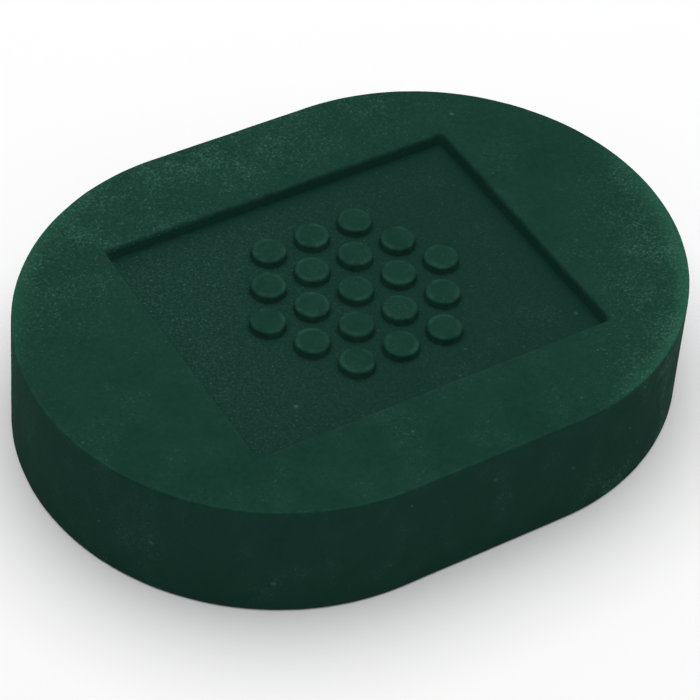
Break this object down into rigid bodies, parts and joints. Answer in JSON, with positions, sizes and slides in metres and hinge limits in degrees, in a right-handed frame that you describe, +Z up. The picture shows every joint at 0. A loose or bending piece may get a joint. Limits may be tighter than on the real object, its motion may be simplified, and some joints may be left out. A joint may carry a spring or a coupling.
{
  "type": "cue chalk",
  "caption": "Stadium-shaped rubber jacket over a labelled chalk block whose dished working face takes a cue tip; the closed face has a sunk panel with raised studs.",
  "frame": {"origin": "centre of the face it rests on: the jacket's open foot, level with the chalk's working face", "axes": "+Z up from the foot to the closed face, +X along the jacket's length"},
  "size_m": [0.0492, 0.0364, 0.0095],
  "materials": {
    "jacket_rubber": "satin",
    "chalk": "matte",
    "label_paper": "matte"
  },
  "bodies": {
    "chalk": {"chalk_cake": "chalk", "paper_label": "label_paper"},
    "jacket": {"jacket": "jacket_rubber"}
  },
  "joints": [
    {"name": "jacket_lift", "type": "slide", "parent": "chalk", "child": "jacket", "axis": [0, 0, 1], "range_m": [0, 0.012]}
  ]
}
